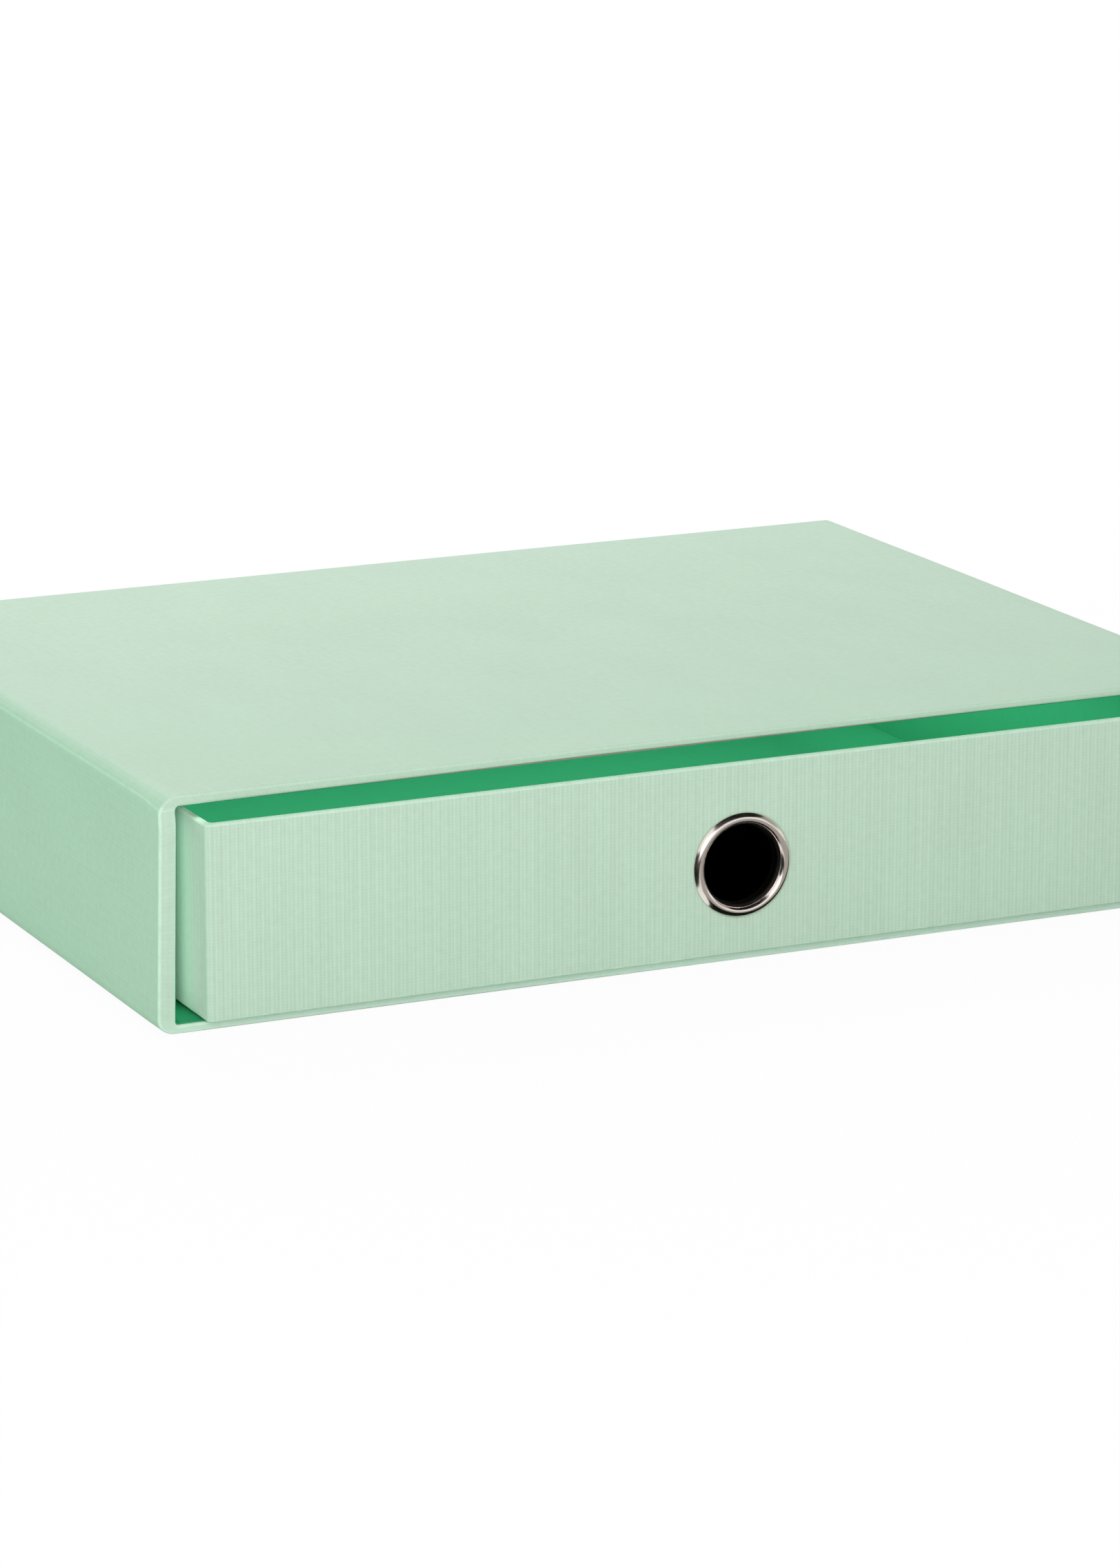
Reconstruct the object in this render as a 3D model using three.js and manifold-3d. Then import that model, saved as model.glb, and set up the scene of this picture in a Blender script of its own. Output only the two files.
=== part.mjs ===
// File box with one drawer, in paper-covered board.
//
// A low sleeve, open at the front, holds one open-topped drawer. Both are made of
// grey board, wrapped outside in linen-embossed cover paper and lined with plain
// paper. The drawer has a metal finger ring and stands a little open.
//
// Millimetres, +Z up. The front faces -Y and the drawer slides along Y.

import * as THREE from 'three';
import { mergeVertices } from 'three/addons/utils/BufferGeometryUtils.js';
import Module from 'manifold-3d';

const wasm = await Module();
wasm.setup();

// Materials in stock thicknesses
const board = 1.75;
const linerBoard = 2;
const paper = 0.25;
const glue = 0.05;

// Sleeve
const sleeveWidth = 326.5;
const sleeveHeight = 65;
const sleeveDepth = 242;
const sleeveCornerRadius = 4.3;
const boardSeamGap = 0.4;
const boardSeamFromSide = 24;
const undersideMargin = 15;
const undersideSheetMargin = 1.7;

// Paper folds, the same on the sleeve and on the drawer
const foldRadius = 0.6;
const turnIn = 7;
const baseMargin = 12;
const baseSheetInset = 1.5;
const liningSetback = 1;
const innerCornerRadius = 1.3;
const leastCornerRadius = 0.2;

// Drawer
const drawerCornerRadius = 1.6;
const drawerPlayTop = 4.95;
const drawerPlayLeft = 6.2;
const drawerPlayRight = 0.6;
const drawerPlayRear = 1.5;
const drawerLift = 0.3;
const drawerPulledOut = 4.4;

// Finger ring
const ringBelowMiddle = 1.7;
const ringRightOfMiddle = 1.6;
const ringBoreRadius = 11.1;
const ringMetal = 0.6;
const ringFlangeWidth = 3.7;
const ringFlangeRise = 2.2;
const ringCrestWidth = 1.95;
const ringThroatDepth = 1;
const ringLipWidth = 1.9;
const ringLipRise = 1.1;
const ringClearance = 0.3;
const washerWidth = 2.4;
const washerThickness = 0.6;
const washerEdge = 0.15;

// How full each side of the flange is, from a straight cone at zero to a corner at one
const flangeFullnessShare = 0.5;
const throatFullnessShare = 0.6;

// Cuts run past the faces that they open by this much
const overrun = 1;

// Facets
const cornerSegments = 8;
const foldSegments = 3;
const ringSegments = 64;
const beadSegments = 8;

// Colours
const linenColour = new THREE.Color('#bbdac3');
const liningColour = new THREE.Color('#32976a');
const boardColour = new THREE.Color('#8f8a80');
const metalColour = new THREE.Color('#d8d2c8');

// One layer of paper with its glue, which every fold and seat counts in
const layer = paper + glue;
const quarterTurn = Math.PI / 2;

// A rectangle with round corners, which lies flat
function outline(width, height, radius, middleY = 0) {
  return { width, height, radius: Math.max(radius, leastCornerRadius), middleY };
}

function inset({ width, height, radius, middleY }, distance) {
  return outline(width - 2 * distance, height - 2 * distance, radius - distance, middleY);
}

// Its points, anticlockwise, as many for every outline
function outlinePoints({ width, height, radius, middleY }) {
  const reachX = width / 2 - radius;
  const reachY = height / 2 - radius;
  const corners = [[1, -1], [1, 1], [-1, 1], [-1, -1]];
  return corners.flatMap(([sideX, sideY], corner) => {
    const points = [];
    for (let step = 0; step <= cornerSegments; step += 1) {
      const angle = quarterTurn * (corner - 1 + step / cornerSegments);
      const x = sideX * reachX + radius * Math.cos(angle);
      const y = middleY + sideY * reachY + radius * Math.sin(angle);
      points.push(new THREE.Vector2(x, y));
    }
    return points;
  });
}

function rectangle(left, bottom, width, height) {
  const right = left + width;
  const top = bottom + height;
  const shape = new THREE.Shape();
  shape.moveTo(left, bottom).lineTo(right, bottom).lineTo(right, top).lineTo(left, top);
  return shape;
}

// Straight solid of a closed shape between two heights
function prism(shape, from, to) {
  const geometry = new THREE.ExtrudeGeometry(shape, { depth: to - from, bevelEnabled: false });
  geometry.translate(0, 0, from);
  return geometry;
}

const plate = (flat, from, to) => prism(new THREE.Shape(outlinePoints(flat)), from, to);

// Closed skin through a run of outlines, each at its height, whose last meets its
// first. The run climbs the outside and comes down the inside.
function wrapped(run) {
  const rings = run.map(([flat, height]) => (
    outlinePoints(flat).flatMap(({ x, y }) => [x, y, height])
  ));
  const count = rings[0].length / 3;
  const index = [];
  rings.forEach((_, ring) => {
    const here = ring * count;
    const next = ((ring + 1) % rings.length) * count;
    for (let point = 0; point < count; point += 1) {
      const after = (point + 1) % count;
      index.push(here + point, here + after, next + after);
      index.push(here + point, next + after, next + point);
    }
  });
  const geometry = new THREE.BufferGeometry();
  geometry.setAttribute('position', new THREE.Float32BufferAttribute(rings.flat(), 3));
  geometry.setIndex(index);
  return faceted(geometry);
}

function faceted(geometry) {
  const flat = geometry.toNonIndexed();
  flat.computeVertexNormals();
  return flat;
}

// Part of such a run that turns a corner in an arc about a middle outline
function turned(middle, height, from, to) {
  const run = [];
  for (let step = 0; step <= foldSegments; step += 1) {
    const angle = from + (to - from) * (step / foldSegments);
    const flat = inset(middle, -foldRadius * Math.cos(angle));
    run.push([flat, height + foldRadius * Math.sin(angle)]);
  }
  return run;
}

function toSolid(geometry) {
  const bare = geometry.clone();
  bare.deleteAttribute('normal');
  bare.deleteAttribute('uv');
  const merged = mergeVertices(bare);
  const vertProperties = new Float32Array(merged.attributes.position.array);
  const triVerts = new Uint32Array(merged.index.array);
  return new wasm.Manifold(new wasm.Mesh({ numProp: 3, vertProperties, triVerts }));
}

function toGeometry(solid) {
  const { vertProperties, triVerts } = solid.getMesh();
  const geometry = new THREE.BufferGeometry();
  geometry.setAttribute('position', new THREE.BufferAttribute(new Float32Array(vertProperties), 3));
  geometry.setIndex(new THREE.BufferAttribute(new Uint32Array(triVerts), 1));
  return faceted(geometry);
}

const cut = (geometry, cutter) => toGeometry(toSolid(geometry).subtract(toSolid(cutter)));
const common = (geometry, other) => toGeometry(toSolid(geometry).intersect(toSolid(other)));

// A tray wrapped in paper, in its own frame: its outline lies flat, its base is at
// zero and its mouth at the top. The sleeve is such a tray, laid on its side.
//   outer      the wrapped outside
//   boardFaces the inner faces of its boards
//   length     from the base to the mouth
function tray(outer, boardFaces, length) {
  const mouth = inset(boardFaces, layer);
  const coverBase = layer;
  const boardBase = 2 * layer;
  const boardTop = length - layer;
  return { outer, boardFaces, mouth, length, coverBase, boardBase, boardTop };
}

// Cover paper: turned under the base, up round the walls, over the mouth's edge and
// down inside. Its folds are round outside and sharp inside, against the board.
function coverPaper({ outer, mouth, length, coverBase }) {
  const margin = inset(outer, baseMargin);
  const inner = inset(outer, paper);
  const outerFold = inset(outer, foldRadius);
  const mouthFold = inset(mouth, -foldRadius);
  const behindMouth = inset(mouth, -paper);
  return wrapped([
    [margin, coverBase],
    ...turned(outerFold, coverBase + foldRadius, -quarterTurn, 0),
    ...turned(outerFold, length - foldRadius, 0, quarterTurn),
    ...turned(mouthFold, length - foldRadius, quarterTurn, 2 * quarterTurn),
    [mouth, length - turnIn],
    [behindMouth, length - turnIn],
    [behindMouth, length - paper],
    [inner, length - paper],
    [inner, coverBase + paper],
    [margin, coverBase + paper],
  ]);
}

// Lining round the inner walls: it lies on the boards, steps up over the turned-in
// cover and stops short of the mouth's edge
function wallLining({ boardFaces, length }, from) {
  const step = length - turnIn - glue;
  const top = length - liningSetback;
  const low = inset(boardFaces, glue);
  const high = inset(low, layer);
  const lowInner = inset(low, paper);
  const highInner = inset(high, paper);
  return wrapped([
    [low, from],
    [low, step],
    [high, step],
    [high, top],
    [highInner, top],
    [highInner, step - paper],
    [lowInner, step - paper],
    [lowInner, from],
  ]);
}

// Flat sheet that lies on the floor of the tray, inside the wall lining's foot
const floorLining = ({ boardFaces }, from) => plate(inset(boardFaces, glue), from, from + paper);

// Sheet that closes the base over the turned-under cover
const baseSheet = ({ outer }) => plate(inset(outer, baseSheetInset), 0, paper);

const finish = (color, roughness, metalness) => (
  new THREE.MeshStandardMaterial({ color, roughness, metalness })
);
const linen = () => finish(linenColour, 0.85, 0);
const lining = () => finish(liningColour, 0.9, 0);
const greyBoard = () => finish(boardColour, 0.95, 0);
const metal = () => finish(metalColour, 0.2, 1);

function piece(parent, name, geometry, material) {
  const mesh = new THREE.Mesh(geometry, material);
  mesh.name = name;
  parent.add(mesh);
}

// Sleeve. Its tray frame has x along the width, y up and its mouth at the front.
const sleeveOuterHeight = sleeveHeight - layer;
const sleeveMiddle = layer + sleeveOuterHeight / 2;
const sleeveOuter = outline(sleeveWidth, sleeveOuterHeight, sleeveCornerRadius, sleeveMiddle);
const wrapOuter = inset(sleeveOuter, layer);
const wrapInner = inset(wrapOuter, board);
const bayWidth = wrapInner.width - 2 * (glue + linerBoard);
const bayFaces = outline(bayWidth, wrapInner.height, innerCornerRadius, sleeveMiddle);
const sleeve = tray(sleeveOuter, bayFaces, sleeveDepth);

// One strip of board folded round the four walls, its ends meeting on the underside
function sleeveWrapBoard() {
  const shape = new THREE.Shape(outlinePoints(wrapOuter));
  shape.holes.push(new THREE.Path(outlinePoints(wrapInner)));
  const ring = prism(shape, sleeve.boardBase, sleeve.boardTop);
  const seamX = wrapOuter.width / 2 - boardSeamFromSide;
  const seam = rectangle(seamX, layer, boardSeamGap, 2 * board);
  return cut(ring, prism(seam, sleeve.boardBase - overrun, sleeve.boardTop + overrun));
}

// The back board drops in between the folded walls
const fitted = inset(wrapInner, glue);
const backBoardTop = sleeve.boardBase + board;
const sleeveBackBoard = () => plate(fitted, sleeve.boardBase, backBoardTop);

// Each side is doubled by a liner board, rounded to fit the wrap's inner folds
function sleeveLinerBoard(side) {
  const full = plate(fitted, backBoardTop + glue, sleeve.boardTop);
  const middleX = side * fitted.width / 2;
  const band = rectangle(middleX - linerBoard, 0, 2 * linerBoard, sleeveHeight);
  return common(full, prism(band, 0, sleeveDepth));
}

// The wrap's long edges are turned under and leave the middle of the underside bare
function sleeveCover() {
  const width = sleeveWidth - 2 * undersideMargin;
  const window = rectangle(-width / 2, layer - overrun, width, paper + 2 * overrun);
  return cut(coverPaper(sleeve), prism(window, undersideMargin, sleeveDepth - undersideMargin));
}

// Sheet on the underside, over the turned-under edges: the sleeve stands on it
function undersideSheet() {
  const width = sleeveWidth - 2 * (sleeveCornerRadius + undersideSheetMargin);
  const strip = rectangle(-width / 2, 0, width, paper);
  return prism(strip, baseSheetInset, sleeveDepth - baseSheetInset);
}

const backLiningTop = backBoardTop + layer;
const sleeveWallLining = () => wallLining(sleeve, backLiningTop + glue);
const sleeveBackLining = () => floorLining(sleeve, backBoardTop + glue);

const sleeveGroup = new THREE.Group();
sleeveGroup.rotation.x = quarterTurn;
sleeveGroup.position.y = sleeveDepth / 2;

piece(sleeveGroup, 'sleeve_wrap_board', sleeveWrapBoard(), greyBoard());
piece(sleeveGroup, 'sleeve_left_liner_board', sleeveLinerBoard(-1), greyBoard());
piece(sleeveGroup, 'sleeve_right_liner_board', sleeveLinerBoard(1), greyBoard());
piece(sleeveGroup, 'sleeve_back_board', sleeveBackBoard(), greyBoard());
piece(sleeveGroup, 'sleeve_cover', sleeveCover(), linen());
piece(sleeveGroup, 'sleeve_back_sheet', baseSheet(sleeve), linen());
piece(sleeveGroup, 'sleeve_underside_sheet', undersideSheet(), linen());
piece(sleeveGroup, 'sleeve_bay_lining', sleeveWallLining(), lining());
piece(sleeveGroup, 'sleeve_back_lining', sleeveBackLining(), lining());

// The room that the drawer runs in: inside the lining where it lies over the fold
const bay = inset(bayFaces, 2 * layer);
const bayFloor = bay.middleY - bay.height / 2;
const bayDepth = sleeveDepth - backLiningTop;

// Drawer. Its tray frame has x along the width, y to the rear and its mouth on top.
const drawerHeight = bay.height - drawerLift - drawerPlayTop;
const drawerWidth = bay.width - drawerPlayLeft - drawerPlayRight;
const drawerDepth = bayDepth - drawerPlayRear;
const drawerDrift = (drawerPlayLeft - drawerPlayRight) / 2;
const drawerOuter = outline(drawerWidth, drawerDepth, drawerCornerRadius);
const drawerBoards = inset(drawerOuter, layer);
const wallFaces = inset(drawerBoards, board);
const drawerFaces = outline(wallFaces.width, wallFaces.height, innerCornerRadius);
const drawer = tray(drawerOuter, drawerFaces, drawerHeight);

// Front and back boards run the full width and take the drawer's round corners
function drawerEndBoard(side) {
  const full = plate(drawerBoards, drawer.boardBase, drawer.boardTop);
  const middleY = side * drawerBoards.height / 2;
  const band = rectangle(-drawerWidth / 2, middleY - board, drawerWidth, 2 * board);
  return common(full, prism(band, 0, drawerHeight));
}

// Side boards stand between the front and back boards
function drawerSideBoard(side) {
  const length = wallFaces.height - 2 * glue;
  const middleX = side * (drawerBoards.width - board) / 2;
  const section = rectangle(middleX - board / 2, -length / 2, board, length);
  return prism(section, drawer.boardBase, drawer.boardTop);
}

// The bottom board lies between the four walls
const drawerFloorTop = drawer.boardBase + board;

function drawerBottomBoard() {
  const width = wallFaces.width - 2 * glue;
  const length = wallFaces.height - 2 * glue;
  return prism(rectangle(-width / 2, -length / 2, width, length), drawer.boardBase, drawerFloorTop);
}

// Round hole through the front wall's layers, where the finger ring passes
const ringHeight = drawerHeight / 2 - ringBelowMiddle;
const frontWall = layer + board + layer;
const barrelRadius = ringBoreRadius + ringMetal;

function fingerHole() {
  const radius = barrelRadius + ringClearance;
  const length = 2 * (frontWall + overrun);
  const cylinder = new THREE.CylinderGeometry(radius, radius, length, ringSegments);
  cylinder.translate(ringRightOfMiddle, -drawerDepth / 2, ringHeight);
  return cylinder;
}

const bored = (geometry) => cut(geometry, fingerHole());
const drawerWallLining = () => wallLining(drawer, drawerFloorTop + layer + glue);
const drawerFloorLining = () => floorLining(drawer, drawerFloorTop + glue);

const drawerGroup = new THREE.Group();
const drawerMiddleY = drawerDepth / 2 - sleeveDepth / 2 - drawerPulledOut;
drawerGroup.position.set(drawerDrift, drawerMiddleY, bayFloor + drawerLift);

piece(drawerGroup, 'drawer_front_board', bored(drawerEndBoard(-1)), greyBoard());
piece(drawerGroup, 'drawer_back_board', drawerEndBoard(1), greyBoard());
piece(drawerGroup, 'drawer_left_board', drawerSideBoard(-1), greyBoard());
piece(drawerGroup, 'drawer_right_board', drawerSideBoard(1), greyBoard());
piece(drawerGroup, 'drawer_bottom_board', drawerBottomBoard(), greyBoard());
piece(drawerGroup, 'drawer_cover', bored(coverPaper(drawer)), linen());
piece(drawerGroup, 'drawer_underside_sheet', baseSheet(drawer), linen());
piece(drawerGroup, 'drawer_wall_lining', bored(drawerWallLining()), lining());
piece(drawerGroup, 'drawer_floor_lining', drawerFloorLining(), lining());

// Finger ring: an eyelet with a raised flange in front, a barrel through the wall's
// layers and a lip rolled over a washer behind. Its profile runs round the metal as
// radius and depth, with the drawer's front face at zero depth.
const washerSeat = frontWall + glue;
const lipSeat = washerSeat + washerThickness + glue;

// Curve between two points, pulled towards the corner that lies square to both
function bulged(from, to, corner, fullnessShare) {
  const pull = from.clone().lerp(to, 1 / 2).lerp(corner, fullnessShare);
  return new THREE.QuadraticBezierCurve(from, pull, to).getPoints(beadSegments);
}

// Flange: a fat bead, from the throat of the bore over its crest and down to the paper
function flangeProfile() {
  const crestRadius = ringBoreRadius + ringCrestWidth;
  const rimRadius = ringBoreRadius + ringFlangeWidth;
  const crest = new THREE.Vector2(crestRadius, -ringFlangeRise);
  const throat = new THREE.Vector2(ringBoreRadius, ringThroatDepth);
  const throatCorner = new THREE.Vector2(ringBoreRadius, -ringFlangeRise);
  const rim = new THREE.Vector2(rimRadius, -glue);
  const rimCorner = new THREE.Vector2(rimRadius, -ringFlangeRise);
  const inner = bulged(throat, crest, throatCorner, throatFullnessShare);
  const slope = bulged(crest, rim, rimCorner, flangeFullnessShare);
  return [...inner, ...slope.slice(1)];
}

// Rear lip, a half round from its outer edge over to the bore
function lipProfile() {
  const half = ringLipWidth / 2;
  const middle = ringBoreRadius + half;
  const arc = new THREE.EllipseCurve(middle, lipSeat, half, ringLipRise, 0, 2 * quarterTurn);
  return arc.getPoints(beadSegments);
}

function fingerRing() {
  const barrelFront = new THREE.Vector2(barrelRadius, -glue);
  const barrelRear = new THREE.Vector2(barrelRadius, lipSeat);
  const profile = [barrelFront, barrelRear, ...lipProfile(), ...flangeProfile(), barrelFront];
  return new THREE.LatheGeometry(profile, ringSegments);
}

function ringWasher() {
  const bore = barrelRadius + ringClearance;
  const rim = bore + washerWidth;
  const rear = washerSeat + washerThickness;
  const profile = [
    new THREE.Vector2(bore, washerSeat),
    new THREE.Vector2(rim, washerSeat),
    new THREE.Vector2(rim, rear - washerEdge),
    new THREE.Vector2(rim - washerEdge, rear),
    new THREE.Vector2(bore, rear),
    new THREE.Vector2(bore, washerSeat),
  ];
  return new THREE.LatheGeometry(profile, ringSegments);
}

const ringGroup = new THREE.Group();
ringGroup.position.set(ringRightOfMiddle, -drawerDepth / 2, ringHeight);
drawerGroup.add(ringGroup);
piece(ringGroup, 'finger_ring', fingerRing(), metal());
piece(ringGroup, 'finger_ring_washer', ringWasher(), metal());

// The origin lies under the middle of the whole box as it stands, drawer and ring
// included
const fileBox = new THREE.Group();
fileBox.position.y = (drawerPulledOut + ringFlangeRise) / 2;
fileBox.add(sleeveGroup, drawerGroup);

const group = new THREE.Group();
group.add(fileBox);

export default group;
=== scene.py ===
"""A paper-covered file box with one drawer: its papers, boards and finger ring, and the
stage that it stands on.

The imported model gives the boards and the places. The papers that show and the finger
ring are built anew as fine surfaces. Lengths are in metres, +Z is up, and the front
faces -Y.
"""

import bpy
import numpy as np
from bpy.props import FloatProperty, FloatVectorProperty, IntProperty, PointerProperty
from mathutils import Matrix, Vector


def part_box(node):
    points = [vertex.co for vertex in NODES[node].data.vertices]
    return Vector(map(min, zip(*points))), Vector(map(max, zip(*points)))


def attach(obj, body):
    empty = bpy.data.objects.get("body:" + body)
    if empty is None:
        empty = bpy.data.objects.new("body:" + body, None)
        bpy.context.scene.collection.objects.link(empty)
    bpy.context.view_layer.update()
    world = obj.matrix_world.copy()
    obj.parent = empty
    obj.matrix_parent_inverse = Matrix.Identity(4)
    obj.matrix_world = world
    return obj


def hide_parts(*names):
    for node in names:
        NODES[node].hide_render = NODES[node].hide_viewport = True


bl_info = {
    "name": "File Box with Drawer",
    "version": (1, 0, 0),
    "blender": (4, 5, 0),
    "location": "View3D > Sidebar > File Box",
    "description": "Builds the papers, boards and finger ring of a file box, and its stage",
    "category": "Add Mesh",
}

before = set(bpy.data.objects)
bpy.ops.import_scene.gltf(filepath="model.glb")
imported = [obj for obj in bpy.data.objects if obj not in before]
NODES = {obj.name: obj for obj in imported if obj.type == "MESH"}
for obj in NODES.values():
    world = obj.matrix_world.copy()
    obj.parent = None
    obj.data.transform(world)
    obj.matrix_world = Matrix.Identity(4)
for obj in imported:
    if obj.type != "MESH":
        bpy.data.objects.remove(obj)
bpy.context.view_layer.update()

MM = 0.001
QUARTER = np.pi / 2
DOWN = (0, 0, -1)

# The share of a straight's length at which its first column of points lies, along x
# and along y
FIRST_ACROSS, FIRST_UP = 0.004, 0.01

# The least radius of a corner, the height over which the lining climbs over the
# turned-in cover, and the period of a wave texture at scale 1
LEAST_RADIUS = 0.2 * MM
CLIMB = 1.2 * MM
WAVE_PERIOD = np.pi / 10

# Pasted papers wander in a few waves of about this length, the drawer's less far
WAVES = 5
WAVE_LENGTH = 45 * MM
DRAWER_WANDER = 0.6

# Where the worn sleeve's bends begin and die out: from the left side, back from the
# mouth, down from the top, and in through the left wall
LEAN_REACH = 80 * MM
SAG_REACH = 120 * MM
MOUTH_REACH = 12 * MM
TOP_START, TOP_REACH = 9 * MM, 5 * MM
SWELL_REACH, SWELL_END, SWELL_FADE = 4 * MM, 6 * MM, 20 * MM

# The upper left crease's wear and painted highlight and its spread in radians, and the
# share of that wear and painted highlight that is left on the top's edge at the mouth,
# with that edge's width
CREASE_WEAR_AND_HIGHLIGHT, CREASE_SPREAD = 0.7, 0.09
TOP_EDGE_WEAR_AND_HIGHLIGHT, TOP_EDGE = 0.2, 3 * MM

# The hole in the drawer's front papers: its play round the barrel, the reach of its
# patch as a share of its radius, and the spacing of the rows that it is cut from
HOLE_PLAY = 0.3 * MM
HOLE_REACH = 1.35
HOLE_SPACING = 2.4 * MM

# How far the ring stands off the paper, and the box off the floor
RING_PLAY = FLOOR_GAP = 0.05 * MM

# How far behind the flange's front the painted shade in the ring's barrel begins, and is full
PAINTED_SHADE_START, PAINTED_SHADE_END = 2.7 * MM, 3.4 * MM

# The colours of the lamps, of the card at the left and of the world
WHITE = (1.0, 1.0, 1.0)
KEY_TINT = (1.0, 0.78, 0.88)
ABOVE_TINT = (1.0, 0.74, 0.88)
SIDE_TINT = (0.58, 1.0, 0.76)
GAP_TINT = (0.94, 1.0, 0.965)
FRONT_GAP_TINT = (0.92, 0.70, 0.81)
FOOT_TINT = (0.86, 0.93, 1.0)
DEEP_TINT = (0.66, 1.0, 0.835)
WORLD_TINT = (0.86, 1.0, 0.91)

# The camera of the photograph, fitted to the box's edges: its place, the turn of its
# view to the right and down, its roll, and its focal length in pixels
CAMERA_PLACE = (-0.65639, -1.41046, 0.42413)
CAMERA_YAW = 25.187
CAMERA_PITCH = 14.446
CAMERA_ROLL = 0.033
FOCAL_PIXELS = 7968.5
IMAGE_LONG_SIDE = 2274
SENSOR = 36.0


def number(name, description, value, kind=FloatProperty, **more):
    return kind(name=name, description=description, default=value, **more)


def length(name, description, millimetres):
    unit = {"subtype": "DISTANCE", "unit": "LENGTH"}
    return number(name, description, millimetres * MM, min=0.0, precision=5, **unit)


def share(name, description, value):
    return number(name, description, value, min=0.0, max=1.0, subtype="FACTOR")


def colour(name, description, value):
    more = {"size": 3, "min": 0.0, "max": 1.0, "subtype": "COLOR"}
    return number(name, description, value, FloatVectorProperty, **more)


class FILEBOX_PG_papers(bpy.types.PropertyGroup):
    """Sizes of the cover and lining papers and of their folds"""

    thickness: length("Thickness", "Thickness of the cover and lining papers", 0.25)
    glue: length("Glue", "Glue line between two layers", 0.05)
    board: length("Board", "Thickness of the grey board", 1.75)
    fold: length("Fold", "Radius of the cover's folds over an edge of board", 0.8)
    turn_in: length("Turn-in", "How far the cover is turned in at a mouth", 7.0)
    base_margin: length("Base margin", "How far the cover is turned under a base", 12.0)
    setback: length("Setback", "How far the lining stops short of a mouth's edge", 1.0)
    sleeve_corner: length("Sleeve corner", "Radius of the sleeve's long corners", 4.3)
    drawer_corner: length("Drawer corner", "Radius of the drawer's upright corners", 1.6)
    inner_corner: length("Inner corner", "Radius of the corners inside the boards", 1.3)
    wave: length("Wave", "How far the pasted papers wander from true", 0.12)
    board_seam: length("Board seam", "From the right side to the folded board's seam", 24.0)
    seam_gap: length("Seam gap", "Gap between the ends of the folded board", 0.4)
    slope: length("Slope", "How far the top's edge slopes back at the mouth", 0.6)
    swell: length("Swell", "How much thicker the left wall is at the mouth", 0.45)
    sag: length("Sag", "How far the top's edge hangs lower at its left end", 1.0)
    crease: number("Crease", "Where the upper left corner's crease lies, in degrees", 162.0)
    lean: length("Lean", "How far the sleeve's left side stands out at its foot", 1.55)


class FILEBOX_PG_ring(bpy.types.PropertyGroup):
    """Sizes of the finger ring"""

    bore: length("Bore", "Radius of the opening", 11.1)
    metal: length("Metal", "Wall thickness of the barrel", 0.6)
    flange: length("Flange", "How far the flange reaches beyond the bore", 3.7)
    rise: length("Rise", "Height of the flange over the paper", 1.4)
    edge: length("Edge", "Height of the flange's rim over the paper", 0.3)
    crest: length("Crest", "How far the crest lies beyond the bore", 1.95)
    throat: length("Throat", "Depth at which the crest's inner round ends", 1.0)
    flare: length("Flare", "How much wider the barrel is at its throat", 0.25)
    lip: length("Lip", "Width of the rolled rear lip", 1.9)
    lip_rise: length("Lip rise", "Height of the rear lip over the washer", 1.1)
    around: number("Segments", "Facets round the ring", 192, IntProperty, min=24)


class FILEBOX_PG_finishes(bpy.types.PropertyGroup):
    """Colours and textures of the papers, the board and the metal"""

    linen: colour("Linen", "Colour of the cover paper", (0.520, 0.690, 0.560))
    # The fold colour stands for worn paper along the folds, with a painted highlight on them
    linen_fold_wear_highlight: colour("Linen fold", "Colour of the cover along its folds", (0.70, 0.93, 0.77))
    rib_pitch: length("Rib pitch", "Distance between the ribs of the linen emboss", 1.2)
    rib_depth: length("Rib depth", "Depth of the linen emboss", 0.05)
    rib_tone: share("Rib tone", "How much the ribs change the paper's colour", 0.15)
    lining: colour("Lining", "Colour of the lining paper", (0.020, 0.328, 0.136))
    board: colour("Board", "Colour of the raw board", (0.27, 0.25, 0.21))
    fleck: colour("Fleck", "Colour of the board's dark flecks", (0.10, 0.09, 0.08))
    metal: colour("Metal", "Colour of the nickel plate", (0.82, 0.77, 0.70))
    metal_cloud: colour("Metal cloud", "Colour of the clouds in it", (0.70, 0.64, 0.57))
    # The barrel colour is painted shade for the dark inside of the ring's hole
    barrel: colour("Barrel", "Colour of the dull inside of the ring", (0.06, 0.055, 0.05))


class FILEBOX_PG_stage(bpy.types.PropertyGroup):
    """Levels of the lamps, the world and the floor"""

    world: number("World", "Strength of the world's light on the object", 0.64)
    key: number("Key", "Power of the lamp at the front, in watts", 5.63)
    above: number("Above", "Power of the lamp over the back, in watts", 6.2)
    side: number("Side", "Strength of the tinted card at the left", 0.70)
    bay: number("Bay", "Power of the lamp under the sleeve's top", 0.23)
    right_bay: number("Right of bay", "Power of the lamp at the drawer's right wall", 0.0148)
    left_gap: number("Left gap", "Power of the lamp in the gap left of the drawer", 0.00085)
    left_deep: number("Deep left gap", "Power of the green lamp deep in the left gap", 0.00135)
    left_wall: number("Left wall", "Power of the lamp over the drawer's left wall", 0.0002)
    mouth: number("Mouth", "Power of the lamp inside the top of the mouth", 0.008)
    foot: number("Foot", "Power of the lamp at the sleeve's lower edge", 0.00098)
    floor: colour("Floor", "Colour of the floor", (0.85, 0.85, 0.85))
    floor_shadow: share("Floor shadow", "How much of its shadow the white floor shows", 0.05)


# Outlines and runs. A tray's paper is a closed skin: a run of heights, each with its
# own inset, carried round a rectangle with round corners.


def straight(steps, first):
    """Shares of the way along a straight: none, the first, and even steps to as far
    short of the end."""
    return np.concatenate([[0.0], np.linspace(first, 1 - first, steps + 1)])


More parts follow.
